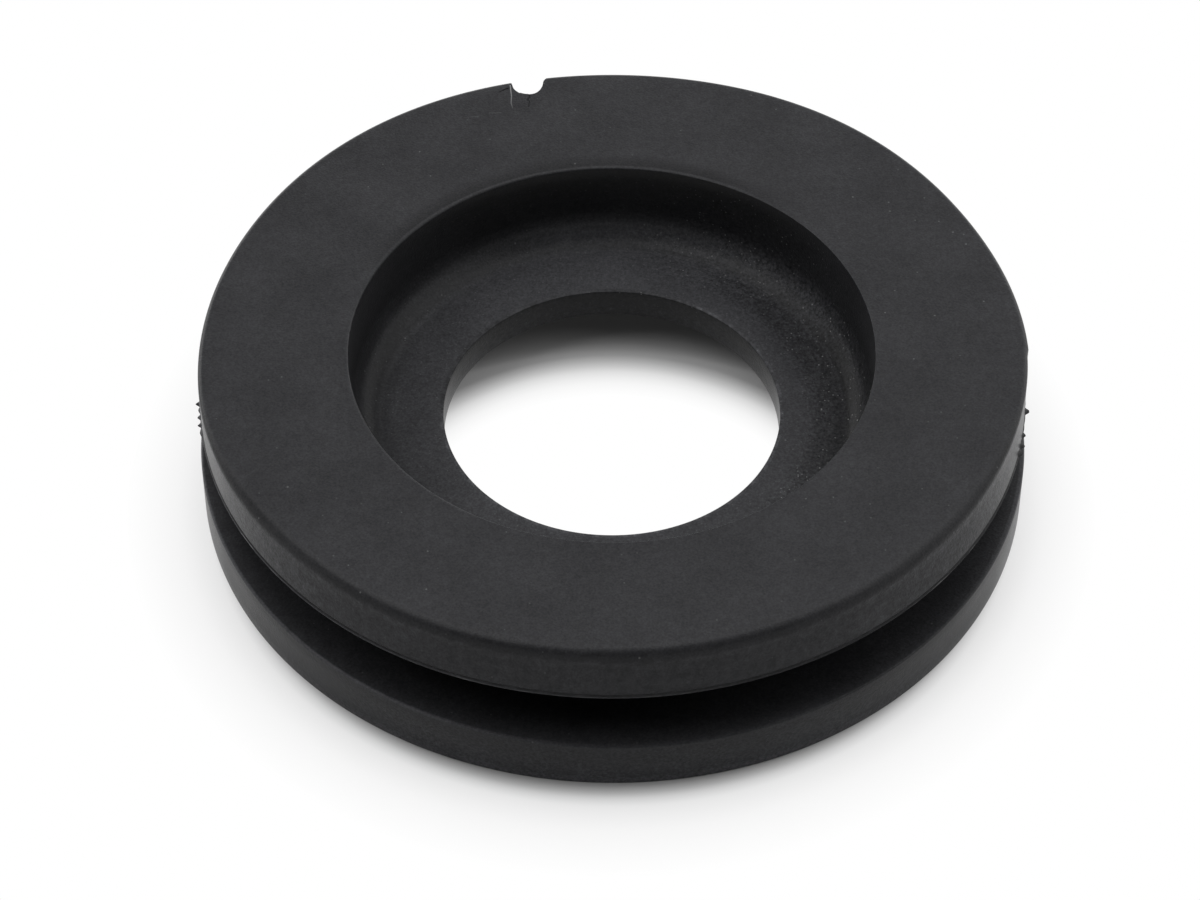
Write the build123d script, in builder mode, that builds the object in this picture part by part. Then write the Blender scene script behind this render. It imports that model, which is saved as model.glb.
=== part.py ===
"""Rubber grommet: a one-piece moulded ring with a panel groove round its edge.

A round top flange and a slightly wider foot flange stand either side of the groove. Both faces
are recessed, and a thin web between the two recesses carries the bore. The top flange shows
the mould's parting line as a low ridge, and a chip is torn out of its edge.
Millimetres. Origin: centre of the bottom face. +Z is the ring's axis, from foot to top flange.
"""
from build123d import *
import os
from math import cos, radians, sin

# The two flanges and the groove between them
flange_diameter = 30.0
flange_thickness = 1.9
foot_diameter = 30.5
foot_thickness = 1.95
groove_diameter = 24.0
groove_width = 2.35

# The recesses in the two faces, and the web with its bore
top_recess_diameter = 19.1
top_recess_depth = 3.33
foot_recess_diameter = 19.1
web_thickness = 1.2
bore_diameter = 12.4

# The top recess's floor: it falls away from the bore to a crease, where the wall's cove begins
floor_fall = 0.1
floor_crown = 0.02
cove_radius = 1.2

# Rounded edges and corners
flange_edge_round = 0.55
foot_edge_round = 0.15
foot_bottom_round = 0.05
recess_lip_round = 0.12
foot_recess_corner_round = 0.7
groove_corner_round = 0.3
bore_edge_round = 0.04

# Parting line: a low ridge round the lower edge of the top flange
ridge_height = 0.06
ridge_width = 0.16

# Chip torn out of the top flange's edge: a round scoop, its mouth flared to the right
chip_azimuth = 102.8
chip_radius = 0.59
chip_inset = 0.35
chip_flare = 0.12
chip_left_round = 0.1
chip_right_round = 0.3
chip_lean = 8.0

# Radii and heights that follow
flange_radius = flange_diameter / 2
foot_radius = foot_diameter / 2
groove_radius = groove_diameter / 2
top_recess_radius = top_recess_diameter / 2
foot_recess_radius = foot_recess_diameter / 2
bore_radius = bore_diameter / 2
ridge_radius = flange_radius + ridge_height

groove_bottom = foot_thickness
groove_top = groove_bottom + groove_width
ridge_top = groove_top + ridge_width
height = groove_top + flange_thickness
web_top = height - top_recess_depth
web_bottom = web_top - web_thickness
crease_radius = top_recess_radius - cove_radius
crease_level = web_top - floor_fall


def ring_edge(part, radius, level):
    """The part's round edge that lies nearest to this radius and height."""
    circles = part.edges().filter_by(GeomType.CIRCLE)
    return circles.sort_by(lambda edge: abs(edge.radius - radius) + abs(edge.arc_center.Z - level))[0]


with BuildPart() as grommet:
    # Half of the moulded section, turned about the axis
    with BuildSketch(Plane.XZ):
        with BuildLine():
            Polyline(
                (bore_radius, web_top),
                (bore_radius, web_bottom),
                (foot_recess_radius, web_bottom),
                (foot_recess_radius, 0),
                (foot_radius, 0),
                (foot_radius, groove_bottom),
                (groove_radius, groove_bottom),
                (groove_radius, groove_top),
                (ridge_radius, groove_top),
                (ridge_radius, groove_top + ridge_width / 2),
                (flange_radius, ridge_top),
                (flange_radius, height),
                (top_recess_radius, height),
                (top_recess_radius, crease_level + cove_radius),
            )
            RadiusArc(
                (top_recess_radius, crease_level + cove_radius),
                (crease_radius, crease_level),
                cove_radius,
            )
            SagittaArc((crease_radius, crease_level), (bore_radius, web_top), -floor_crown)
        make_face()
    revolve(axis=Axis.Z)

    # Rounds of the mould, from the outer edges to the bore
    fillet(ring_edge(grommet.part, flange_radius, height), flange_edge_round)
    fillet(ring_edge(grommet.part, foot_radius, groove_bottom), foot_edge_round)
    fillet(ring_edge(grommet.part, foot_radius, 0), foot_bottom_round)
    for level in (groove_bottom, groove_top):
        fillet(ring_edge(grommet.part, groove_radius, level), groove_corner_round)
    fillet(ring_edge(grommet.part, foot_recess_radius, web_bottom), foot_recess_corner_round)
    fillet(ring_edge(grommet.part, top_recess_radius, height), recess_lip_round)
    fillet(ring_edge(grommet.part, foot_recess_radius, 0), recess_lip_round)
    for level in (web_top, web_bottom):
        fillet(ring_edge(grommet.part, bore_radius, level), bore_edge_round)

    # The scoop's plane leans with it: its Y points outwards, and the scoop runs outwards going down
    outward = Vector(cos(radians(chip_azimuth)), sin(radians(chip_azimuth)), 0)
    chip_centre = outward * (flange_radius - chip_inset) + Vector(0, 0, height)
    chip_up = Vector(0, 0, 1) * cos(radians(chip_lean)) - outward * sin(radians(chip_lean))
    chip_plane = Plane(origin=chip_centre, x_dir=outward.cross(Vector(0, 0, 1)), z_dir=chip_up)
    with BuildSketch(chip_plane) as chip:
        Circle(chip_radius)
        with BuildLine():
            Polyline(
                (-chip_radius, 0),
                (chip_radius, 0),
                (chip_radius + chip_flare, chip_inset),
                (-chip_radius, chip_inset),
                close=True,
            )
        make_face()
        # The open air past the flange's edge, so that the chip's shoulders can be rounded
        with Locations((0, chip_inset)):
            Rectangle(6 * chip_radius, 2 * chip_radius, align=(Align.CENTER, Align.MIN))
        shoulders = chip.vertices().filter_by_position(Axis.Y, chip_inset - 0.01, chip_inset + 0.01)
        left_shoulder, right_shoulder = shoulders.sort_by(Axis.X)[1:3]
        fillet(left_shoulder, chip_left_round)
        fillet(right_shoulder, chip_right_round)
    extrude(amount=flange_thickness + groove_width / 2, both=True, mode=Mode.SUBTRACT)

grommet.part.label = "grommet"
os.makedirs("parts", exist_ok=True)
export_step(grommet.part, "parts/grommet.step")
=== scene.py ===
"""Rubber grommet, dressed: a moulded ring of matte black rubber with the traces of its mould,
a chip torn out of its edge and a little dust. Sizes are in millimetres until a mesh is made, and
azimuths in degrees from +X towards +Y. Materials and the floor's shadow are in metres and radians."""
import bpy
import bmesh
import math
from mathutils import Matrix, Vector, noise


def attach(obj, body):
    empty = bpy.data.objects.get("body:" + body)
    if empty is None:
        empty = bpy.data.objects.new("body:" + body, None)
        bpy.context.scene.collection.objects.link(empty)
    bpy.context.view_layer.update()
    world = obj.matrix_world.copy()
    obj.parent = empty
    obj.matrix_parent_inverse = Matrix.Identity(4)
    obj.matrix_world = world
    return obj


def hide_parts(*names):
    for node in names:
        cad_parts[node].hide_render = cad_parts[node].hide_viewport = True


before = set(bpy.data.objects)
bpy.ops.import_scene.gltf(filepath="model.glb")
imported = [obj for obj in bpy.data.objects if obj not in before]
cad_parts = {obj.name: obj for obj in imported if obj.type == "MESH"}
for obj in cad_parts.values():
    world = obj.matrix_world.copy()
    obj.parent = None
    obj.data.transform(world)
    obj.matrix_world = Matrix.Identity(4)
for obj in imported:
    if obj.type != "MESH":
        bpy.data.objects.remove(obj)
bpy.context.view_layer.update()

MM = 0.001

# The moulded section. It is the part's, but for the foot, which is a little smaller and has a finer
# upper edge, and for the top flange's edge, whose round is crisp at the sides and behind
FLANGE_RADIUS = 15.0
FLANGE_THICKNESS = 1.9
FOOT_RADIUS = 15.21
FOOT_THICKNESS = 1.95
GROOVE_RADIUS = 12.0
GROOVE_WIDTH = 2.35
RECESS_RADIUS = 9.55
RECESS_DEPTH = 3.33
WEB_THICKNESS = 1.2
BORE_RADIUS = 6.2
FLOOR_FALL = 0.1
COVE_RADIUS = 1.2
FLANGE_EDGE_ROUND = 0.55
CRISP_EDGE_ROUND = 0.2
EDGE_ROUND_START, EDGE_ROUND_FULL = 0.15, 0.6
FOOT_EDGE_ROUND = 0.07
FOOT_BOTTOM_ROUND = 0.05
LIP_ROUND = 0.12
FOOT_RECESS_ROUND = 0.7
GROOVE_ROUND = 0.3
BORE_ROUND = 0.04

GROOVE_BOTTOM = FOOT_THICKNESS
GROOVE_TOP = GROOVE_BOTTOM + GROOVE_WIDTH
HEIGHT = GROOVE_TOP + FLANGE_THICKNESS
WEB_TOP = HEIGHT - RECESS_DEPTH
WEB_BOTTOM = WEB_TOP - WEB_THICKNESS
CREASE_RADIUS = RECESS_RADIUS - COVE_RADIUS
CREASE_LEVEL = WEB_TOP - FLOOR_FALL

# A fine bead where the mould's core met the top face, just outside the recess's lip
BEAD_RADIUS = 9.74
BEAD_HEIGHT = 0.012
BEAD_HALF_WIDTH = 0.05
TOP_LEVEL = HEIGHT - BEAD_HEIGHT

# The recess's lip: its round is worn sharp in front and at the right, and the top face dips a little
# towards it on the far side
LIP_WEAR = 0.85
LIP_WEAR_AZIMUTH = 330.0
LIP_WEAR_REACH = 1.6
LIP_FALL = 0.055
LIP_FALL_WIDTH = 0.75
LIP_FALL_AZIMUTH = 100.0
LIP_FALL_SPREAD = 60.0

# A shallow trough in the recess's floor, on the right
DISH_AZIMUTH = 22.0
DISH_SPREAD = 62.0
DISH_RADIUS = 7.9
DISH_HALF_WIDTH = 1.3
DISH_DEPTH = 0.09

# Slight waves of the top flange's edge, most on the far side
WAVES_PER_TURN = 5.5
WAVE_CREST_AZIMUTH = 58.0
WAVE_HEIGHT = 0.05
WAVE_INNER_RADIUS = 12.5

# In front the flange's rim leans in towards its top, most a little to the right of the middle
FRONT_LEAN = 0.30
FRONT_AZIMUTH = 277.0
FRONT_START = 0.1
FRONT_FULL = 0.78

# The two flanges aren't quite round: the top one bulges at its front left and at its right and is drawn
# in at its left (azimuth, height, half width), and the foot lies to the right and bulges in front
FLANGE_BULGES = ((220.0, 0.07, 45.0), (352.0, 0.10, 40.0), (50.0, 0.04, 30.0), (175.0, -0.05, 35.0))
FOOT_SHIFT = 0.035
FOOT_BULGE = 0.03
RIM_LIMIT = 15.235

# Parting line at the lower edge of the top flange: a crease, and a ragged ridge of flash below it
RIDGE_LEVEL = GROOVE_TOP + 0.07
RIDGE_TOP = GROOVE_TOP + 0.15
RIDGE_PROUD = 0.035
RIDGE_HALF_HEIGHT = 0.04
CREASE_DEPTH = 0.02
CREASE_HEIGHT = 0.02
RIM_FOOT = 0.05
RIM_UNDERCUT = 0.02
GROOVE_MOUTH = 0.1
FLASH_RAGGED = 0.02
FLASH_SWELL = 0.012
FLASH_LIMIT = 0.19
BURR_LIFT = 0.01

# Chip torn out of the top flange's edge: a scoop with a small step in its wall, a curved right side,
# a rounded left shoulder and short slopes outside. Its cutter is open air past the rim
CHIP_AZIMUTH = 102.8
CHIP_RADIUS = 0.59
CHIP_INSET = 0.35
CHIP_LEFT_ROUND = 0.14
CHIP_REACH = 0.29
CHIP_RIGHT_SIDE = ((0.56, -0.19), (0.72, 0.27), (1.02, 0.29))
CHIP_SLOPE_RUN, CHIP_SLOPE_RISE = 0.35, 0.2
CHIP_LEAN = 8.0
CHIP_STEP = 0.03
CHIP_STEP_FROM, CHIP_STEP_TO = 228.0, 262.0
CHIP_SCOOP_START, CHIP_SCOOP_TURN = 180.0, 158.0
CHIP_OPEN_REACH = 1.5
CHIP_LEVELS = (0.5, 0.05, 0, -0.12, -0.3, -0.55, -0.8, -1.1, -1.4, -1.7, -2.0, -3.0)
CHIP_ROUGHNESS = 0.03
CHIP_ROUGHNESS_SCALE = 4.0

# Marks beside the chip, seen from above: a crack inwards from it, a nick whose torn edge is pale, a
# short cut and two faint scratches, each with its half width. The crack and the cut are slits
SLIT_TAPER = 0.8
SLIT_RISE = 0.7
SLIT_CLEARANCE = 0.1
CRACK = ((-3.19, 13.67), (-3.16, 13.55), (-3.22, 13.40), (-3.14, 13.22), (-3.18, 13.02))
CRACK_HALF_WIDTH = 0.016
CRACK_DEPTH = 0.25
NICK = ((-3.91, 14.22), (-3.85, 13.60), (-3.86, 13.20), (-3.80, 12.92))
NICK_HALF_WIDTH = 0.028
SHORT_CUT = ((-3.97, 14.05), (-4.13, 13.97), (-4.31, 13.83))
SHORT_CUT_HALF_WIDTH = 0.035
SHORT_CUT_DEPTH = 0.16
SCRATCH = ((-4.67, 12.62), (-4.22, 12.63))
FAR_SCRATCH = ((-5.36, 12.42), (-5.09, 12.41))
SCRATCH_HALF_WIDTH = 0.035

# Crumbs of rubber in a band round the chip's centre, by their distance from it
CRUMB_INNER, CRUMB_OUTER = 0.62, 0.95


def line(start, end, steps):
    """Points from start up to, but not including, end."""
    return [(start[0] + (end[0] - start[0]) * i / steps, start[1] + (end[1] - start[1]) * i / steps)
            for i in range(steps)]


def arc(centre, radius, start, end, steps):
    """Points on an arc of the section, angles in degrees, without its last point."""
    points = []
    for i in range(steps):
        angle = math.radians(start + (end - start) * i / steps)
        points.append((centre[0] + radius * math.cos(angle), centre[1] + radius * math.sin(angle)))
    return points


def floor_line(steps):
    """The recess's floor from the bore's rounded edge out to the crease: it falls in a soft curve."""
    inner = BORE_RADIUS + BORE_ROUND
    points = []
    for i in range(steps):
        t = i / steps
        points.append((inner + (CREASE_RADIUS - inner) * t, WEB_TOP - FLOOR_FALL * t * t * (3 - 2 * t)))
    return points


def edge_round(azimuth):
    """The round of the top flange's upper edge here: full in front, and crisp at the sides and behind."""
    share = (-math.sin(math.radians(azimuth)) - EDGE_ROUND_START) / (EDGE_ROUND_FULL - EDGE_ROUND_START)
    share = min(max(share, 0.0), 1.0)
    return CRISP_EDGE_ROUND + (FLANGE_EDGE_ROUND - CRISP_EDGE_ROUND) * share * share * (3 - 2 * share)


def section(upper_round):
    """The ring's closed section as (radius, height, feature), from the bore's wall upwards."""
    def tag(points, name):
        return [(r, z, name) for r, z in points]

    rim_low = RIDGE_TOP + RIM_FOOT
    lip = RECESS_RADIUS + LIP_ROUND
    fall_end = lip + LIP_FALL_WIDTH
    top_edge = FLANGE_RADIUS - upper_round
    foot_edge = FOOT_RADIUS - FOOT_EDGE_ROUND
    foot_high = GROOVE_BOTTOM - FOOT_EDGE_ROUND
    foot_base = FOOT_RADIUS - FOOT_BOTTOM_ROUND
    groove_in = GROOVE_RADIUS + GROOVE_ROUND
    groove_high = GROOVE_TOP - GROOVE_ROUND
    groove_low = GROOVE_BOTTOM + GROOVE_ROUND
    foot_corner = RECESS_RADIUS - FOOT_RECESS_ROUND
    bore_edge = BORE_RADIUS + BORE_ROUND
    bore_low = WEB_BOTTOM + BORE_ROUND
    bore_high = WEB_TOP - BORE_ROUND
    wall_low = CREASE_LEVEL + COVE_RADIUS
    loop = []
    loop += tag(line((BORE_RADIUS, bore_low), (BORE_RADIUS, bore_high), 4), "bore")
    loop += tag(arc((bore_edge, bore_high), BORE_ROUND, 180, 90, 3), "bore")
    loop += tag(floor_line(10), "floor")
    loop += tag(arc((CREASE_RADIUS, wall_low), COVE_RADIUS, 270, 360, 12), "cove")
    loop += tag(line((RECESS_RADIUS, wall_low), (RECESS_RADIUS, TOP_LEVEL - LIP_ROUND), 5), "wall")
    loop += tag(arc((lip, TOP_LEVEL - LIP_ROUND), LIP_ROUND, 180, 90, 4), "lip")
    bead_in, bead_out = BEAD_RADIUS - BEAD_HALF_WIDTH, BEAD_RADIUS + BEAD_HALF_WIDTH
    loop += [(lip, TOP_LEVEL, "top"), (bead_in, TOP_LEVEL, "top"), (BEAD_RADIUS, HEIGHT, "bead")]
    loop += tag(line((bead_out, TOP_LEVEL), (fall_end, TOP_LEVEL), 3), "top")
    loop += tag(line((fall_end, TOP_LEVEL), (top_edge, TOP_LEVEL), 12), "top")
    loop += tag(arc((top_edge, TOP_LEVEL - upper_round), upper_round, 90, 0, 8), "edge")
    loop += tag(line((FLANGE_RADIUS, TOP_LEVEL - upper_round), (FLANGE_RADIUS, rim_low), 5), "rim")
    loop += [
        (FLANGE_RADIUS, rim_low, "rim"),
        (FLANGE_RADIUS - CREASE_DEPTH, RIDGE_TOP + CREASE_HEIGHT, "crease"),
        (FLANGE_RADIUS - CREASE_DEPTH, RIDGE_TOP, "crease"),
        (FLANGE_RADIUS + 0.5 * RIDGE_PROUD, RIDGE_LEVEL + RIDGE_HALF_HEIGHT, "ridge_side"),
        (FLANGE_RADIUS + RIDGE_PROUD, RIDGE_LEVEL, "ridge"),
        (FLANGE_RADIUS + 0.5 * RIDGE_PROUD, RIDGE_LEVEL - RIDGE_HALF_HEIGHT, "ridge_side"),
        (FLANGE_RADIUS - RIM_UNDERCUT, GROOVE_TOP, "rim"),
    ]
    loop += tag(line((FLANGE_RADIUS - GROOVE_MOUTH, GROOVE_TOP), (groove_in, GROOVE_TOP), 3), "groove")
    loop += tag(arc((groove_in, groove_high), GROOVE_ROUND, 90, 180, 4), "groove")
    loop += tag(line((GROOVE_RADIUS, groove_high), (GROOVE_RADIUS, groove_low), 3), "groove")
    loop += tag(arc((groove_in, groove_low), GROOVE_ROUND, 180, 270, 4), "groove")
    loop += tag(line((groove_in, GROOVE_BOTTOM), (foot_edge, GROOVE_BOTTOM), 5), "groove")
    loop += tag(arc((foot_edge, foot_high), FOOT_EDGE_ROUND, 90, 0, 4), "foot")
    loop += tag(line((FOOT_RADIUS, foot_high), (FOOT_RADIUS, FOOT_BOTTOM_ROUND), 4), "foot")
    loop += tag(arc((foot_base, FOOT_BOTTOM_ROUND), FOOT_BOTTOM_ROUND, 0, -90, 3), "foot")
    loop += tag(line((foot_base, 0), (lip, 0), 5), "base")
    loop += tag(arc((lip, LIP_ROUND), LIP_ROUND, 270, 180, 3), "base")
    loop += tag(line((RECESS_RADIUS, LIP_ROUND), (RECESS_RADIUS, WEB_BOTTOM - FOOT_RECESS_ROUND), 2), "base")
    loop += tag(arc((foot_corner, WEB_BOTTOM - FOOT_RECESS_ROUND), FOOT_RECESS_ROUND, 0, 90, 5), "base")
    loop += tag(line((foot_corner, WEB_BOTTOM), (bore_edge, WEB_BOTTOM), 4), "base")
    loop += tag(arc((bore_edge, bore_low), BORE_ROUND, 270, 180, 3), "bore")
    return loop


# Stretches of the rim that need close columns: the chip, and the ragged flash at left and right
FINE_STRETCHES = ((98.0, 108.0, 0.14), (180.0, 195.0, 0.16), (343.0, 358.0, 0.16))
COARSE_STEP = 0.85


def azimuths():
    """The columns' azimuths in degrees, once round, close together on the fine stretches."""
    angles = []
    angle = 0.0
    while angle < 360 - 0.5 * COARSE_STEP:
        angles.append(angle)
        step = COARSE_STEP
        for low, high, fine in FINE_STRETCHES:
            if low - COARSE_STEP < angle < high:
                step = fine
        angle += step
    return angles


# Burrs of flash that stand out past the ridge: azimuth, how far they reach, half width in degrees
BURRS = (
    (184.4, 0.19, 0.6), (185.6, 0.09, 0.9), (187.0, 0.13, 0.6), (188.5, 0.145, 0.5), (190.0, 0.09, 1.2),
    (192.0, 0.07, 1.2), (354.2, 0.19, 0.7), (349.6, 0.115, 0.6), (347.6, 0.155, 0.6), (346.1, 0.14, 0.8),
)


def flash(azimuth):
    """How far the flash stands out of the rim here, from its fine ragged edge and its burrs."""
    ragged = FLASH_RAGGED * noise.noise(Vector((azimuth * 0.9, 3.1, 0)))
    swell = FLASH_SWELL * noise.noise(Vector((azimuth * 0.31, 7.7, 0)))
    reach = RIDGE_PROUD + ragged + swell
    for centre, tall, half in BURRS:
        off = abs(azimuth - centre) / half
        if off < 1:
            reach = max(reach, tall * (1 - off ** 1.5) + BURR_LIFT)
    return min(max(reach, 0.0), FLASH_LIMIT)


def bead_loss(azimuth):
    """How much of the lip's bead is missing here: little on the far left, most at the front right."""
    side = 0.5 - 0.5 * math.cos(math.radians(azimuth - 140))
    patchy = 0.5 + 0.5 * noise.noise(Vector((azimuth * 0.13, 1.7, 0)))
    return min(max(1.5 * side * side + 0.6 * patchy, 0.0), 1.0)


def lip_wear(azimuth):
    """How much sharper the recess's lip is here: most of its round is missing in front and at the right."""
    side = 0.5 + 0.5 * math.cos(math.radians(azimuth - LIP_WEAR_AZIMUTH))
    return LIP_WEAR * min(LIP_WEAR_REACH * side, 1.0)


def lip_fall(azimuth, radius):
    """How far the top face dips towards the recess here: a little, on the far side."""
    off = math.remainder(azimuth - LIP_FALL_AZIMUTH, 360) / LIP_FALL_SPREAD
    across = (radius - RECESS_RADIUS - LIP_ROUND) / LIP_FALL_WIDTH
    if abs(off) >= 1 or across >= 1:
        return 0.0
    return LIP_FALL * (1 - off * off) * (1 - max(across, 0.0)) ** 2


def dish(azimuth, radius):
    """How deep the recess's floor is dished here: a shallow trough on the right, along the crease."""
    off = math.remainder(azimuth - DISH_AZIMUTH, 360) / DISH_SPREAD
    across = (radius - DISH_RADIUS) / DISH_HALF_WIDTH
    if abs(off) >= 1 or abs(across) >= 1:
        return 0.0
    return DISH_DEPTH * (1 - off * off) ** 2 * (1 - across * across) ** 2


def front_share(azimuth):
    """1 at the front of the ring, falling smoothly to 0 at its left and right."""
    forward = math.cos(math.radians(azimuth - FRONT_AZIMUTH))
    share = min(max((forward - FRONT_START) / (FRONT_FULL - FRONT_START), 0.0), 1.0)
    return share * share * (3 - 2 * share)


def out_of_round(azimuth, radius, level):
    """How far the top flange stands outwards here, from its waves, its bulges and its rim's lean."""
    share = (radius - WAVE_INNER_RADIUS) / (FLANGE_RADIUS - WAVE_INNER_RADIUS)
    if share <= 0:
        return 0.0
    turn = math.radians(azimuth)
    far = 0.5 + 0.5 * math.sin(turn)
    wave = WAVE_HEIGHT * math.cos(WAVES_PER_TURN * (turn - math.radians(WAVE_CREST_AZIMUTH)))
    rise = (level - RIDGE_TOP) / (HEIGHT - FLANGE_EDGE_ROUND - RIDGE_TOP)
    lean = FRONT_LEAN * front_share(azimuth) * min(max(rise, 0.0), 1.0)
    bulge = 0.0
    for centre, tall, half in FLANGE_BULGES:
        off = math.remainder(azimuth - centre, 360) / half
        bulge += tall * max(0.0, 1 - off * off) ** 2
    return (wave * math.sqrt(far) + bulge - lean) * min(share, 1.0)


def foot_stand(azimuth):
    """How far the foot stands outwards here, from its shift and its bulge in front."""
    turn = math.radians(azimuth)
    return FOOT_SHIFT * math.cos(turn) + FOOT_BULGE * max(0.0, -math.sin(turn)) ** 2


WAVING = ("top", "edge", "rim", "crease", "ridge", "ridge_side")


def mesh_data(mesh, name):
    """The finished mesh under its name; the one it was built in is freed."""
    data = bpy.data.meshes.new(name)
    mesh.to_mesh(data)
    mesh.free()
    return data


def ring_mesh():
    """The whole ring's skin: the section turned about the axis, with its waves and flash."""
    mesh = bmesh.new()
    columns = []
    for azimuth in azimuths():
        turn = math.radians(azimuth)
        column = []
        for radius, level, feature in section(edge_round(azimuth)):
            if feature in ("floor", "cove"):
                level -= dish(azimuth, radius)
            if feature == "ridge":
                radius = FLANGE_RADIUS + flash(azimuth)
            if feature in WAVING:
                radius = min(radius + out_of_round(azimuth, radius, level), RIM_LIMIT)
            if feature == "foot":
                radius += foot_stand(azimuth)
            if feature == "lip":
                radius -= (radius - RECESS_RADIUS) * lip_wear(azimuth)
                level += (TOP_LEVEL - level) * lip_wear(azimuth)
            if feature == "bead":
                level -= BEAD_HEIGHT * bead_loss(azimuth)
            if feature in ("wall", "lip", "top", "bead"):
                level -= lip_fall(azimuth, radius)
            place = Vector((radius * math.cos(turn), radius * math.sin(turn), level)) * MM
            column.append(mesh.verts.new(place))
        columns.append(column)
    count = len(columns[0])
    for i, column in enumerate(columns):
        following = columns[(i + 1) % len(columns)]
        for j in range(count):
            k = (j + 1) % count
            mesh.faces.new((column[j], following[j], following[k], column[k]))
    bmesh.ops.recalc_face_normals(mesh, faces=mesh.faces)
    return mesh_data(mesh, "moulded_ring")


def chip_outline():
    """The chip's outline in its own plane: X to the right, Y outwards, with rounded shoulders."""
    points = []
    scoop_steps, side_steps, shoulder_steps = 28, 12, 6
    for i in range(scoop_steps):
        turn = CHIP_SCOOP_START + CHIP_SCOOP_TURN * i / scoop_steps
        radius = CHIP_RADIUS - (CHIP_STEP if CHIP_STEP_FROM < turn < CHIP_STEP_TO else 0)
        points.append((radius * math.cos(math.radians(turn)), radius * math.sin(math.radians(turn))))
    foot, bend, shoulder = CHIP_RIGHT_SIDE
    for i in range(side_steps + 1):
        t = i / side_steps
        points.append(tuple(a * (1 - t) ** 2 + 2 * b * t * (1 - t) + c * t * t
                            for a, b, c in zip(foot, bend, shoulder)))
    right_end = points[-1][0] + CHIP_SLOPE_RUN
    left_end = -CHIP_RADIUS - CHIP_LEFT_ROUND - CHIP_SLOPE_RUN
    slope_end = CHIP_REACH + CHIP_SLOPE_RISE
    points += [(right_end, slope_end), (right_end, CHIP_OPEN_REACH)]
    points += [(left_end, CHIP_OPEN_REACH), (left_end, slope_end)]
    for i in range(shoulder_steps + 1):
        angle = math.radians(90 - 90 * i / shoulder_steps)
        points.append((-CHIP_RADIUS - CHIP_LEFT_ROUND * (1 - math.cos(angle)),
                       CHIP_REACH - CHIP_LEFT_ROUND * (1 - math.sin(angle))))
    return points


def chip_cutter():
    """A closed, slightly uneven prism of the chip's outline, leaning outwards as it goes down."""
    turn, lean = math.radians(CHIP_AZIMUTH), math.radians(CHIP_LEAN)
    outward = Vector((math.cos(turn), math.sin(turn), 0))
    up = Vector((0, 0, 1)) * math.cos(lean) - outward * math.sin(lean)
    side = outward.cross(Vector((0, 0, 1)))
    away = up.cross(side)
    centre = outward * (FLANGE_RADIUS - CHIP_INSET) + Vector((0, 0, HEIGHT))
    outline = chip_outline()
    mesh = bmesh.new()
    rows = []
    for level in CHIP_LEVELS:
        row = []
        for x, y in outline:
            place = centre + side * x + away * y + up * level
            if y < CHIP_REACH:
                here = place * CHIP_ROUGHNESS_SCALE
                rough = side * noise.noise(here) + away * noise.noise(here + Vector((9, 9, 9)))
                place += rough * CHIP_ROUGHNESS
            row.append(mesh.verts.new(place * MM))
        rows.append(row)
    count = len(outline)
    for upper, lower in zip(rows, rows[1:]):
        for j in range(count):
            k = (j + 1) % count
            mesh.faces.new((upper[j], lower[j], lower[k], upper[k]))
    mesh.faces.new(rows[0])
    mesh.faces.new(rows[-1][::-1])
    bmesh.ops.recalc_face_normals(mesh, faces=mesh.faces)
    return mesh_data(mesh, "chip_cutter")


def slit_cutter(name, points, half_width, depth):
    """A thin wedge along a slit: widest and deepest at its first point, and sharp at its lower edge."""
    count = len(points)
    mesh = bmesh.new()
    rows = []
    for i, (x, y) in enumerate(points):
        wide = half_width * (1 - SLIT_TAPER * i / (count - 1))
        deep = depth * (1 - SLIT_RISE * i / (count - 1))
        ahead, behind = points[min(i + 1, count - 1)], points[max(i - 1, 0)]
        run = Vector((ahead[0] - behind[0], ahead[1] - behind[1])).normalized() * wide
        over = HEIGHT + SLIT_CLEARANCE
        corners = (x + run.y, y - run.x, over), (x - run.y, y + run.x, over), (x, y, HEIGHT - deep)
        rows.append([mesh.verts.new(Vector(corner) * MM) for corner in corners])
    for near, far in zip(rows, rows[1:]):
        for j in range(3):
            k = (j + 1) % 3
            mesh.faces.new((near[j], near[k], far[k], far[j]))
    mesh.faces.new(rows[0])
    mesh.faces.new(rows[-1][::-1])
    bmesh.ops.recalc_face_normals(mesh, faces=mesh.faces)
    return mesh_data(mesh, name)


def cut(target, cutter_data):
    """Cuts the cutter's volume out of the target's mesh for good, and drops the cutter."""
    cutter = bpy.data.objects.new(cutter_data.name, cutter_data)
    bpy.context.scene.collection.objects.link(cutter)
    modifier = target.modifiers.new(cutter_data.name, "BOOLEAN")
    modifier.operation = "DIFFERENCE"
    modifier.solver = "EXACT"
    modifier.object = cutter
    evaluated = target.evaluated_get(bpy.context.evaluated_depsgraph_get())
    data = bpy.data.meshes.new_from_object(evaluated)
    target.modifiers.clear()
    target.data = data
    bpy.data.objects.remove(cutter)


# The rubber, its noises in cycles a metre, and how strongly its specks and marks show
RUBBER_IOR = 1.225
RUBBER_COLOUR = (0.0343, 0.0345, 0.0372)
MOTTLE_SCALE, CLOUD_SCALE, COARSE_SCALE, GRAIN_SCALE = 450, 3200, 8000, 12500
TURNED_SCALE = 13000
SPARSE_SCALE, DENSE_SCALE, CRUMB_SCALE = 2200, 6200, 8500
SPARSE_LIGHT, DENSE_LIGHT, CRUMB_LIGHT = 0.08, 0.24, 0.1
# CUT_DARK is the strength of the painted shade along the crack and the short cut
NICK_LIGHT, SCRATCH_LIGHT, CUT_DARK = 0.26, 0.028, 0.75
SHAKE_SCALE, SHAKE_REACH = 9000, 0.00012


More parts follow.
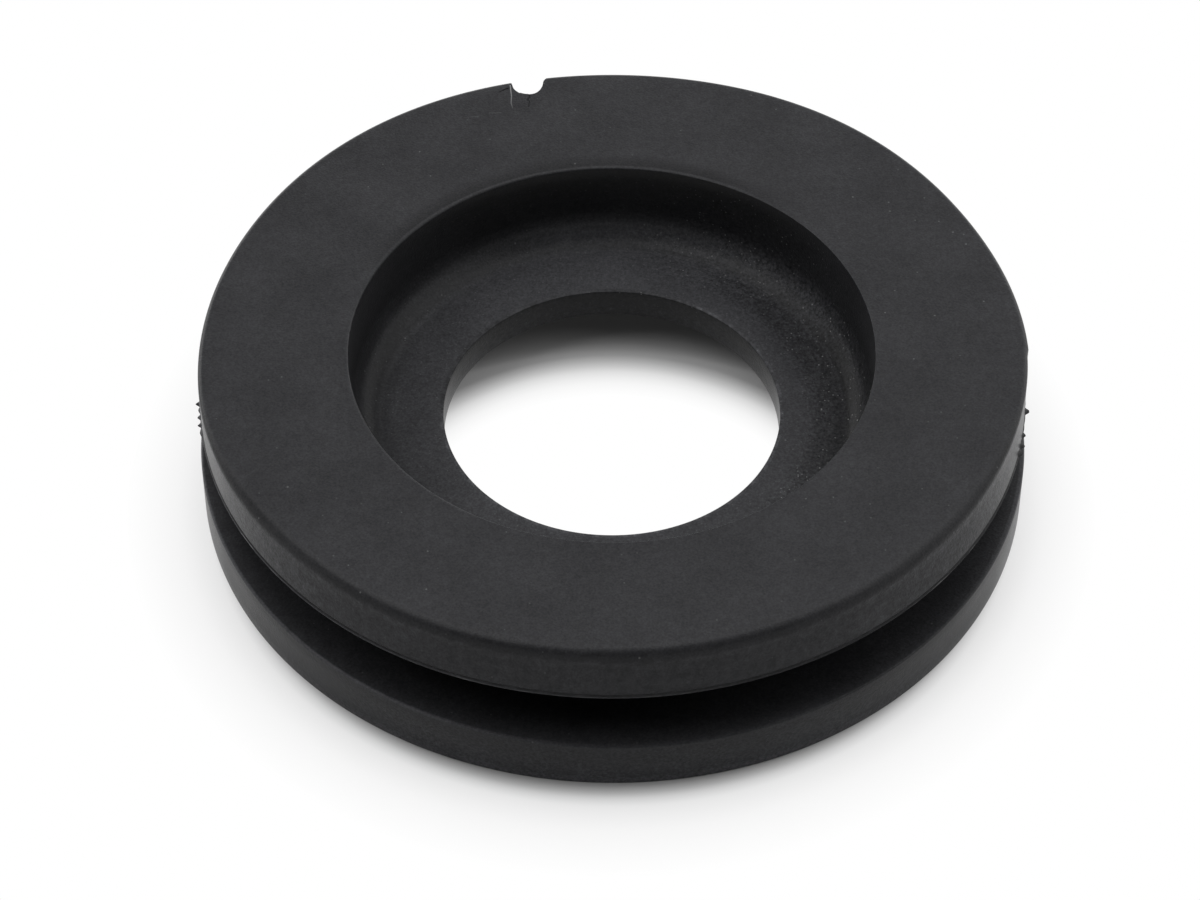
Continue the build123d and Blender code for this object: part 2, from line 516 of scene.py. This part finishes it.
class Nodes:
    """Short names for building a material's node tree."""
    def __init__(self, material):
        material.use_nodes = True
        self.tree = material.node_tree
        self.tree.nodes.clear()

    def add(self, kind, inputs=None, **settings):
        node = self.tree.nodes.new(kind)
        for name, value in settings.items():
            setattr(node, name, value)
        for name, value in (inputs or {}).items():
            if isinstance(value, bpy.types.NodeSocket):
                self.tree.links.new(value, node.inputs[name])
            else:
                node.inputs[name].default_value = value
        return node

    def math(self, operation, a, b=0.0, c=0.0, clamp=False):
        node = self.add("ShaderNodeMath", {0: a, 1: b, 2: c}, operation=operation, use_clamp=clamp)
        return node.outputs[0]

    def ramp(self, value, low, high, to_low=0.0, to_high=1.0):
        node = self.add("ShaderNodeMapRange", {"Value": value, "From Min": low, "From Max": high,
                                               "To Min": to_low, "To Max": to_high}, clamp=True)
        return node.outputs[0]

    def steps(self, value, stops):
        """Straight pieces through (value, share) stops, level past the first and the last."""
        first, last = stops[0][0], stops[-1][0]
        along = self.ramp(value, first, last)
        node = self.add("ShaderNodeValToRGB", {"Fac": along})
        points = node.color_ramp.elements
        while len(points) < len(stops):
            points.new(0.5)
        for point, (place, _) in zip(points, stops):
            point.position = (place - first) / (last - first)
        for point, (_, share) in zip(points, stops):
            point.color = (share, share, share, 1)
        return node.outputs["Color"]

    def noise(self, place, scale, detail=2.0, rough=0.5):
        node = self.add("ShaderNodeTexNoise", {"Vector": place, "Scale": scale, "Detail": detail,
                                               "Roughness": rough})
        return node.outputs[0]

    def times(self, *factors):
        result = factors[0]
        for factor in factors[1:]:
            result = self.math("MULTIPLY", result, factor)
        return result

    def layer(self, mask, share):
        """A factor that is 1 where the mask is 0 and the given share where it is 1."""
        if isinstance(share, bpy.types.NodeSocket):
            excess = self.math("SUBTRACT", share, 1.0)
        else:
            excess = share - 1
        return self.math("MULTIPLY_ADD", mask, excess, 1.0)

    def vector(self, operation, a, b=(0.0, 0.0, 0.0)):
        return self.add("ShaderNodeVectorMath", {0: a, 1: b}, operation=operation)

    def window(self, value, low, high, soft):
        """1 between low and high, falling to 0 over the soft distance past each."""
        return self.math("MULTIPLY", self.ramp(value, low - soft, low), self.ramp(value, high + soft, high))

    def specks(self, place, scale, size):
        """Scattered round specks of uneven strength: scale in cells a metre, size as a share of a cell."""
        cells = self.add("ShaderNodeTexVoronoi", {"Vector": place, "Scale": scale})
        pick = self.add("ShaderNodeSeparateColor", {0: cells.outputs["Color"]}).outputs[0]
        dots = self.ramp(cells.outputs["Distance"], size, size * 0.5)
        return self.math("MULTIPLY", dots, self.math("POWER", pick, 3.0))

    def stroke(self, plan, points, half_width):
        """1 along a scratch through the points (mm, seen from above), fading out at its half width."""
        mark = None
        for start, end in zip(points, points[1:]):
            origin = Vector((start[0], start[1], 0)) * MM
            run = Vector((end[0], end[1], 0)) * MM - origin
            offset = self.vector("SUBTRACT", plan, origin).outputs[0]
            along = self.vector("DOT_PRODUCT", offset, run / run.length_squared).outputs["Value"]
            share = self.math("ADD", along, 0.0, clamp=True)
            nearest = self.add("ShaderNodeVectorMath", {0: run, "Scale": share}, operation="SCALE").outputs[0]
            gap = self.vector("DISTANCE", offset, nearest).outputs["Value"]
            part = self.ramp(gap, half_width * MM, half_width * 0.3 * MM)
            mark = part if mark is None else self.math("MAXIMUM", mark, part)
        return mark


def chip_marks(n, place, plan, cloud):
    """The marks beside the chip: the painted shade along its cuts, how light its nick and scratches are, and
    its crumbs.
    """
    parts = n.add("ShaderNodeSeparateXYZ", {0: place})
    across, back, height = parts.outputs["X"], parts.outputs["Y"], parts.outputs["Z"]
    on_top = n.ramp(height, 0.0056, 0.0059)

    # The cuts and scratches aren't drawn quite straight
    unrest = n.add("ShaderNodeTexNoise", {"Vector": place, "Scale": SHAKE_SCALE}).outputs["Color"]
    shake = n.vector("SUBTRACT", unrest, (0.5, 0.5, 0.5)).outputs[0]
    shaken = n.add("ShaderNodeVectorMath", {0: shake, "Scale": SHAKE_REACH}, operation="SCALE").outputs[0]
    drawn = n.vector("ADD", plan, shaken).outputs[0]
    # Painted shade along and beside the crack and the short cut
    cuts = n.math("MAXIMUM", n.stroke(drawn, CRACK, 3 * CRACK_HALF_WIDTH),
                  n.stroke(drawn, SHORT_CUT, 1.6 * SHORT_CUT_HALF_WIDTH))
    dark = n.times(cuts, on_top)

    fade = n.ramp(back, 0.01285, 0.01420, 0.2, 1.0)
    pale = n.times(n.stroke(plan, NICK, NICK_HALF_WIDTH), n.ramp(cloud, 0.3, 0.55, 0.55, 1.0), fade, on_top)
    scratches = n.math("MAXIMUM", n.stroke(drawn, SCRATCH, SCRATCH_HALF_WIDTH),
                       n.stroke(drawn, FAR_SCRATCH, SCRATCH_HALF_WIDTH))
    faint = n.times(scratches, on_top)
    marks = n.math("ADD", n.math("MULTIPLY", pale, NICK_LIGHT), n.math("MULTIPLY", faint, SCRATCH_LIGHT))

    turn = math.radians(CHIP_AZIMUTH)
    centre = Vector((math.cos(turn), math.sin(turn), 0)) * (FLANGE_RADIUS - CHIP_INSET) * MM
    from_chip = n.vector("DISTANCE", plan, centre).outputs["Value"]
    crumbs = n.times(n.specks(place, CRUMB_SCALE, 0.3),
                     n.window(from_chip, CRUMB_INNER * MM, CRUMB_OUTER * MM, 0.00008),
                     n.ramp(across, -0.0036, -0.0028, 0.2, 1.0), on_top)
    return dark, marks, n.math("MULTIPLY", crumbs, CRUMB_LIGHT)


def rubber():
    """Matte black rubber: fine grain, faint mottling, painted light and shade with a little dust, specks on
    what faces up, the turned marks of the mould in the recess, and the scratches beside the chip."""
    material = bpy.data.materials.new("matte_black_rubber")
    n = Nodes(material)
    coordinates = n.add("ShaderNodeTexCoord")
    place = coordinates.outputs["Object"]
    parts = n.add("ShaderNodeSeparateXYZ", {0: place})
    across, back, height = parts.outputs["X"], parts.outputs["Y"], parts.outputs["Z"]
    plan = n.add("ShaderNodeCombineXYZ", {0: across, 1: back}).outputs[0]
    radius = n.vector("LENGTH", plan).outputs["Value"]
    turn = n.math("ARCTAN2", back, across)
    facing = n.add("ShaderNodeSeparateXYZ", {0: coordinates.outputs["Normal"]}).outputs["Z"]

    # Mottling and grain, from coarse to fine
    mottle = n.noise(place, MOTTLE_SCALE, 3)
    cloud = n.noise(place, CLOUD_SCALE, 2, 0.6)
    coarse = n.noise(place, COARSE_SCALE, 2, 0.6)
    grain = n.noise(place, GRAIN_SCALE, 2, 0.65)

    # Where on the ring this is: each mask is 1 on its feature and 0 elsewhere
    upright = n.ramp(facing, 0.5, 0.2)
    tilted = n.window(facing, 0.35, 0.8, 0.15)
    in_recess = n.times(n.ramp(radius, 0.0096, 0.0090), n.ramp(height, 0.0042, 0.0030),
                        n.ramp(height, 0.0022, 0.0026))
    wall = n.times(n.window(radius, 0.0092, 0.0096, 0.0002), n.ramp(height, 0.0038, 0.0054),
                   n.ramp(facing, 0.6, 0.3))
    bore_wall = n.times(n.ramp(radius, 0.00630, 0.00622), upright)
    bore_edge = n.times(n.window(radius, 0.0062, 0.0063, 0.00006), n.ramp(height, 0.0027, 0.0028))
    groove = n.times(n.ramp(radius, 0.0151, 0.0144), n.window(height, 0.0020, 0.0042, 0.00008),
                     n.ramp(radius, 0.0115, 0.0119))
    foot_rim = n.times(upright, n.ramp(height, 0.0019, 0.0017), n.ramp(radius, 0.0148, 0.0150))
    foot_edge = n.times(n.ramp(height, 0.00187, 0.00191), n.ramp(height, 0.0021, 0.0020),
                        n.ramp(radius, 0.01506, 0.01512))
    flange_rim = n.times(upright, n.ramp(height, 0.0042, 0.0043), n.ramp(radius, 0.0145, 0.0147))
    flange_edge = n.times(tilted, n.ramp(height, 0.0054, 0.0056), n.ramp(radius, 0.0138, 0.0140))
    right = n.ramp(across, 0.0, 0.0065)
    sides = n.ramp(n.math("ABSOLUTE", across), 0.007, 0.0135)
    leftward = n.ramp(across, 0.0145, -0.0145)
    ridge_low, ridge_high = (RIDGE_LEVEL - RIDGE_HALF_HEIGHT) * MM, (RIDGE_LEVEL + 0.03) * MM
    ridge = n.times(n.window(height, ridge_low, ridge_high, 0.00002), n.ramp(radius, 0.0147, 0.0149))
    crease = n.times(n.window(height, (RIDGE_TOP - 0.03) * MM, (RIDGE_TOP + 0.03) * MM, 0.00002),
                     n.ramp(radius, 0.0147, 0.0149), n.ramp(cloud, 0.35, 0.5))
    far_bore_edge = n.times(n.ramp(radius, 0.0064, 0.0063), n.window(turn, 1.3, 3.3, 0.3),
                            n.ramp(height, 0.0027, 0.0028))
    far_lip = n.times(n.ramp(radius, 0.0103, 0.0098), n.ramp(radius, 0.00967, 0.00971),
                      n.ramp(height, 0.0059, 0.0060), n.window(turn, 1.15, 2.45, 0.35))
    burr = n.times(n.ramp(radius, 0.01506, 0.01511), n.window(height, 0.0042, 0.0045, 0.0001),
                   n.ramp(across, -0.0140, -0.0145))
    left_floor = n.times(in_recess, n.ramp(across, -0.0045, -0.0065))
    right_cove = n.times(n.window(radius, 0.00872, 0.00910, 0.00012), n.window(turn, -0.4, 0.25, 0.25),
                         in_recess)
    cove_foot = n.times(n.window(radius, 0.00872, 0.00905, 0.00018), n.ramp(height, 0.0050, 0.0040))
    level_sides = n.ramp(n.math("ABSOLUTE", back), 0.0045, 0.0015)
    far = n.ramp(back, 0.0035, 0.0070)
    trough = n.times(in_recess, n.window(radius, 0.0077, 0.0084, 0.0005), n.window(turn, -0.35, 0.75, 0.35))
    side_cove = n.times(level_sides, n.window(radius, 0.0084, 0.0096, 0.0004),
                        n.ramp(height, 0.0050, 0.0036))
    far_cove = n.times(n.window(radius, 0.0090, 0.0094, 0.0003), n.window(turn, 0.6, 1.75, 0.25),
                       n.ramp(height, 0.0050, 0.0036))

    # Turned marks of the mould in the recess
    spun = n.add("ShaderNodeCombineXYZ", {0: radius, 1: n.math("MULTIPLY", turn, 0.0007)}).outputs[0]
    turned = n.noise(spun, TURNED_SCALE, 1)
    turned_share = n.times(n.window(radius, 0.0081, 0.0088, 0.0003), n.window(turn, 0.35, 1.2, 0.3),
                           in_recess)
    turned_shade = n.math("MULTIPLY_ADD", n.times(n.math("SUBTRACT", turned, 0.5), turned_share), 1.2, 1.0)

    # Clouding, strongest on the top flange's rim and on the bore's wall
    rough_places = n.math("MAXIMUM", n.math("MULTIPLY", flange_rim, 0.9), bore_wall)
    cloud_shade = n.math("MULTIPLY_ADD", n.math("SUBTRACT", cloud, 0.5),
                         n.math("MULTIPLY_ADD", rough_places, 1.4, 0.5), 1.0)

    # Coarser grain below the lip, in the groove and on the foot's rim, strongest on the bore's wall, at the
    # sides of the top flange's rim, and in the recess on the right
    below_lip = n.times(n.ramp(radius, 0.0097, 0.0095), n.ramp(height, 0.0060, 0.0054))
    outer_floor = n.ramp(radius, 0.0070, 0.0077)
    right_floor = n.times(right, outer_floor)
    coarse_share = n.times(below_lip, n.math("MULTIPLY_ADD", right_floor, 1.5, 0.7))
    for share in (n.times(foot_rim, 1.5), n.times(groove, 1.2), n.times(bore_wall, 2.0),
                  n.times(flange_rim, sides, 2.2)):
        coarse_share = n.math("MAXIMUM", coarse_share, share)
    coarse_shade = n.math("MULTIPLY_ADD", n.times(n.math("SUBTRACT", coarse, 0.5), coarse_share), 1.3, 1.0)

    # Painted light and shade, with a little dust: each layer lightens or darkens the rubber on one feature
    painted_shading_and_dust = n.times(
        # Painted shade: darker where the surface faces less upwards
        n.layer(n.ramp(facing, 0.97, 0.55), 0.7),
        # Lighter in the recess, most on its far side: partly dust, partly painted light where the wall shades
        # the floor
        n.layer(in_recess, 1.3),
        n.layer(n.times(in_recess, far), 1.14),
        # Painted shade in the trough on the right and in the cove at the sides, painted highlight in the far
        # cove
        n.layer(trough, 0.68),
        n.layer(side_cove, 0.68),
        n.layer(far_cove, 1.5),
        # Painted shade on the recess's wall, deepest on its far side
        n.layer(n.times(wall, n.ramp(back, 0.0050, 0.0085, 0.25, 1.0)), 0.45),
        # Painted shade on the bore's wall, deepest on its upper part
        n.layer(bore_wall, 0.9),
        n.layer(n.times(bore_wall, n.ramp(height, 0.0021, 0.0025)), 0.38),
        # Patchy pale line along the bore's upper edge: painted highlight, and wear
        n.layer(n.times(bore_edge, n.ramp(cloud, 0.4, 0.6)), 1.6),
        # Painted shade on the bore's edge on the far left
        n.layer(far_bore_edge, 0.55),
        # Painted shade at the foot of the recess's cove and in the cove on the right
        n.layer(cove_foot, 0.62),
        n.layer(right_cove, 0.6),
        # Painted shade on the top face beside the recess's lip on the far side
        n.layer(far_lip, 0.6),
        # Painted shade on the burrs of flash at the left
        n.layer(burr, 0.3),
        # Painted shade on the recess's floor at the left
        n.layer(left_floor, 0.92),
        # Painted shade in the groove, deeper towards the left
        n.layer(groove, 0.49),
        n.layer(n.times(groove, n.ramp(leftward, 0.6, 0.85)), 0.85),
        # Painted light and shade on the foot's rim: lighter low down, most at the very bottom, darker at the
        # top and at the sides, lighter at the far right
        n.layer(n.times(foot_rim, n.ramp(height, 0.0014, 0.0003)), 1.9),
        n.layer(n.times(foot_rim, sides), n.ramp(across, 0.0138, 0.0150, 0.50, 1.6)),
        n.layer(n.times(foot_rim, n.ramp(height, 0.0004, 0.0001)), 1.8),
        n.layer(n.times(foot_rim, n.ramp(height, 0.0003, 0.0014)), 0.85),
        # Painted highlight along the foot's upper edge, strongest at the left and at the right
        n.layer(foot_edge, n.math("MAXIMUM", n.ramp(leftward, 0.5, 0.75, 1.1, 2.2),
                                  n.ramp(across, 0.0125, 0.0148, 1.1, 2.0))),
        # Painted light on the top flange's rim, most at the sides
        n.layer(flange_rim, 1.1),
        n.layer(n.times(flange_rim, sides), 1.25),
        # Painted shade on the top flange's rounded edge
        n.layer(flange_edge, 0.85),
        # Painted light on the flash ridge at the left and painted shade at the right
        n.layer(ridge, n.ramp(leftward, 0.0, 1.0, 0.5, 2.0)),
        # Painted shade in the crease above the ridge
        n.layer(crease, 0.4),
    )
    tone = n.times(painted_shading_and_dust, n.ramp(mottle, 0.3, 0.7, 0.91, 1.09), cloud_shade, coarse_shade,
                   n.ramp(grain, 0.3, 0.7, 0.74, 1.26), turned_shade)

    # Specks: sparse on all that faces up, and dense in the recess, most on its right, and along the
    # bore's edge
    sparse = n.times(n.specks(place, SPARSE_SCALE, 0.1), n.ramp(facing, 0.0, 0.5))
    dense = n.specks(place, DENSE_SCALE, 0.22)
    dusty = n.math("MAXIMUM", n.math("MULTIPLY", bore_edge, 0.5),
                   n.times(below_lip, n.math("MULTIPLY_ADD", right_floor, 0.8, 0.2)))
    dust = n.math("MAXIMUM", n.math("MULTIPLY", sparse, SPARSE_LIGHT), n.times(dense, dusty, DENSE_LIGHT))

    dark, marks, crumbs = chip_marks(n, place, plan, cloud)
    # The cuts' painted shade darkens the tone
    shade = n.times(tone, n.math("MULTIPLY_ADD", dark, -CUT_DARK, 1.0))
    light = n.math("ADD", n.math("ADD", dust, marks), crumbs)

    red, green, blue = (n.math("MULTIPLY_ADD", shade, share, light) for share in RUBBER_COLOUR)
    base = n.add("ShaderNodeCombineColor", {"Red": red, "Green": green, "Blue": blue})
    rough = n.ramp(mottle, 0.3, 0.7, 0.28, 0.34)
    relief = n.math("MULTIPLY_ADD", n.math("MULTIPLY", turned, turned_share), 0.5, grain)
    fine = n.add("ShaderNodeBump", {"Strength": 0.35, "Distance": 0.00004, "Height": relief})
    shader = n.add("ShaderNodeBsdfPrincipled", {"Base Color": base.outputs[0], "Roughness": rough,
                                                "Normal": fine.outputs[0], "IOR": RUBBER_IOR})
    n.add("ShaderNodeOutputMaterial", {"Surface": shader.outputs[0]})
    return material


# The ring's shadow on the floor, painted as the share of plain white seen at each distance (metres). Round
# the ring its middle lies a little in front of the axis, because the light comes from above and
# behind. Seen through the bore, the painted lit patch ends on an arc about a point further in front, and
# a faint glow past it on one about a point further still.
SHADOW_CENTRE = (0.0, -0.00135, 0.0)
SHADOW_OUTSIDE = ((0.01402, 0.0), (0.01418, 0.06), (0.01433, 0.14), (0.01459, 0.39), (0.01495, 0.60),
                  (0.0160, 0.80), (0.0180, 1.0))
# Near the ring the floor's own colour is darkened too, down to the contact share: painted contact shadow
CONTACT_DARK, CONTACT_END, CONTACT_SHARE = 0.01395, 0.0149, 0.5
FLOOR_PALE = 0.9
PATCH_CENTRE = (0.0, -0.0044, 0.0)
PATCH = ((0.0079, 1.0), (0.00826, 0.95), (0.00856, 0.89), (0.00886, 0.78), (0.00916, 0.63), (0.00946, 0.41),
         (0.00976, 0.235), (0.0102, 0.05), (0.0107, 0.022), (0.0115, 0.012))
GLOW_CENTRE = (0.0, -0.0080, 0.0)
GLOW = ((0.01375, 0.100), (0.0140, 0.056), (0.01428, 0.033), (0.0147, 0.021), (0.0153, 0.015))
PATCH_LIMIT = 0.0090
PATCH_SOFT = 0.0003


def white_floor():
    """The pale floor: white to the camera away from the ring, with the ring's shadow kept near it, its
    colour darkened there into a painted contact shadow, and a painted lit patch seen through the bore.
    """
    material = bpy.data.materials.new("white_sweep")
    n = Nodes(material)
    rays = n.add("ShaderNodeLightPath")
    seen = n.math("MAXIMUM", rays.outputs["Is Camera Ray"],
                  n.math("MAXIMUM", rays.outputs["Is Glossy Ray"], rays.outputs["Is Transmission Ray"]))
    place = n.add("ShaderNodeTexCoord").outputs["Object"]
    from_middle = n.vector("DISTANCE", place, SHADOW_CENTRE).outputs["Value"]
    from_patch = n.vector("DISTANCE", place, PATCH_CENTRE).outputs["Value"]
    from_glow = n.vector("DISTANCE", place, GLOW_CENTRE).outputs["Value"]
    from_axis = n.vector("LENGTH", place).outputs["Value"]
    inside = n.times(n.math("MAXIMUM", n.steps(from_patch, PATCH), n.steps(from_glow, GLOW)),
                     n.ramp(from_axis, PATCH_LIMIT + PATCH_SOFT, PATCH_LIMIT))
    outside = n.steps(from_middle, SHADOW_OUTSIDE)
    glow = n.math("MULTIPLY", seen, n.math("MAXIMUM", inside, outside))
    # Painted contact shadow in the floor's colour
    near = n.ramp(from_middle, CONTACT_DARK, CONTACT_END, CONTACT_SHARE, 1.0)
    contact = n.math("MULTIPLY", near, FLOOR_PALE)
    plain = n.add("ShaderNodeBsdfDiffuse", {"Color": contact})
    white = n.add("ShaderNodeEmission", {"Color": (1, 1, 1, 1), "Strength": 1.0})
    mixed = n.add("ShaderNodeMixShader", {0: glow, 1: plain.outputs[0], 2: white.outputs[0]})
    n.add("ShaderNodeOutputMaterial", {"Surface": mixed.outputs[0]})
    return material


def sweep_mesh():
    """A round floor that curves up into a low wall, so that it is white behind the ring from any side."""
    floor_radius, bend, wall_top, segments, bend_steps = 0.8, 0.2, 0.45, 96, 12
    profile = [(0.02, 0.0), (0.2, 0.0)]
    for i in range(bend_steps + 1):
        angle = math.radians(90 * i / bend_steps)
        profile.append((floor_radius + bend * math.sin(angle), bend * (1 - math.cos(angle))))
    profile.append((floor_radius + bend, wall_top))
    mesh = bmesh.new()
    rings = []
    turns = [2 * math.pi * i / segments for i in range(segments)]
    for radius, level in profile:
        rings.append([mesh.verts.new((radius * math.cos(turn), radius * math.sin(turn), level))
                      for turn in turns])
    mesh.faces.new(rings[0])
    for inner, outer in zip(rings, rings[1:]):
        for i in range(segments):
            k = (i + 1) % segments
            mesh.faces.new((inner[i], inner[k], outer[k], outer[i]))
    return mesh_data(mesh, "white_sweep")


def soft_light(name, azimuth, elevation, power, size=0.38, distance=0.45):
    """A round soft lamp aimed at the ring from a compass direction, in degrees."""
    turn, rise = math.radians(azimuth), math.radians(elevation)
    direction = Vector((math.cos(rise) * math.cos(turn), math.cos(rise) * math.sin(turn), math.sin(rise)))
    place = direction * distance
    data = bpy.data.lights.new(name, "AREA")
    data.shape = "DISK"
    data.size = size
    data.energy = power
    lamp = bpy.data.objects.new(name, data)
    lamp.location = place
    lamp.rotation_euler = (-place).to_track_quat("-Z", "Y").to_euler()
    lamp.visible_camera = False
    bpy.context.scene.collection.objects.link(lamp)


# The ring. An edge between faces that turn by more than the sharp angle, in degrees, stays crisp
SHARP_ANGLE = 32
ring = bpy.data.objects.new("moulded_ring", ring_mesh())
bpy.context.scene.collection.objects.link(ring)
cut(ring, chip_cutter())
cut(ring, slit_cutter("crack", CRACK, CRACK_HALF_WIDTH, CRACK_DEPTH))
cut(ring, slit_cutter("short_cut", SHORT_CUT, SHORT_CUT_HALF_WIDTH, SHORT_CUT_DEPTH))
ring.data.shade_smooth()
ring.data.set_sharp_from_angle(angle=math.radians(SHARP_ANGLE))
ring.data.materials.clear()
ring.data.materials.append(rubber())
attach(ring, "root")
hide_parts("grommet")

# Floor, lights and world
sweep = bpy.data.objects.new("white_sweep", sweep_mesh())
sweep.data.materials.append(white_floor())
bpy.context.scene.collection.objects.link(sweep)

soft_light("overhead_back", 90, 74, 0.40)
soft_light("high_left", 180, 60, 0.78)
soft_light("high_right", 0, 45, 0.52)
soft_light("high_back_right", 45, 60, 0.35)
soft_light("low_back_left", 135, 14, 0.90)
soft_light("low_back", 90, 14, 0.25)
soft_light("low_back_right", 45, 14, 0.45)

world = bpy.data.worlds.new("studio")
bpy.context.scene.world = world
world.use_nodes = True
background = world.node_tree.nodes["Background"]
background.inputs["Color"].default_value = (1, 1, 1, 1)
background.inputs["Strength"].default_value = 0.0

# Camera: the photograph's viewpoint, its lens in millimetres and its place in metres
VIEW_ELEVATION = 46.76
VIEW_LENS = 119.34
VIEW_PLACE = (-0.000434, -0.10153, 0.10867)
camera_data = bpy.data.cameras.new("camera")
camera_data.sensor_width = 36.0
camera_data.lens = VIEW_LENS
camera_data.clip_start, camera_data.clip_end = 0.01, 10.0
camera = bpy.data.objects.new("camera", camera_data)
camera.location = VIEW_PLACE
camera.rotation_euler = (math.radians(90 - VIEW_ELEVATION), 0, 0)
bpy.context.scene.collection.objects.link(camera)
bpy.context.scene.camera = camera

bpy.context.scene.view_settings.view_transform = "Standard"
